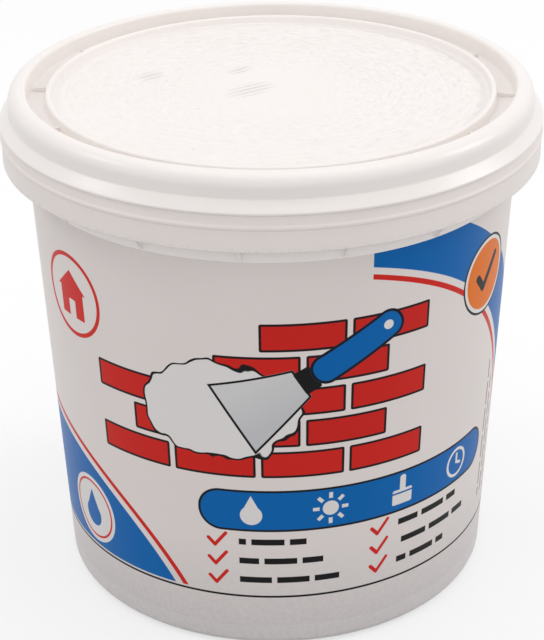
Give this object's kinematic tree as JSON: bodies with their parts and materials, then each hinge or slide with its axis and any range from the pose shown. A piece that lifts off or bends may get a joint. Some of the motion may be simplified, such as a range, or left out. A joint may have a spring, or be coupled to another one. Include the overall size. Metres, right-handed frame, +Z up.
{
  "type": "wall filler tub",
  "caption": "Round plastic tub of ready-mixed wall filler: tapered wall under a wrap-round printed label, deep collar on gussets, and a push-on lid with a raised ring round a lower panel.",
  "frame": {"origin": "centre of the base, on the plane that the tub stands on", "axes": "+Z up along the tub's axis, -Y towards the front of the label, +X to its right"},
  "size_m": [0.13, 0.13, 0.1268],
  "materials": {
    "tub_plastic": "satin moulded white plastic",
    "label_film": "printed film, satin",
    "paste": "matt ready-mixed paste",
    "lid_plastic": "satin moulded white plastic"
  },
  "bodies": {
    "tub": {"tub": "tub_plastic", "label": "label_film", "filler": "paste"},
    "lid": {"lid": "lid_plastic"}
  },
  "joints": [
    {"name": "lid_lift", "type": "slide", "parent": "tub", "child": "lid", "axis": [0, 0, 1], "range_m": [0, 0.06]}
  ]
}
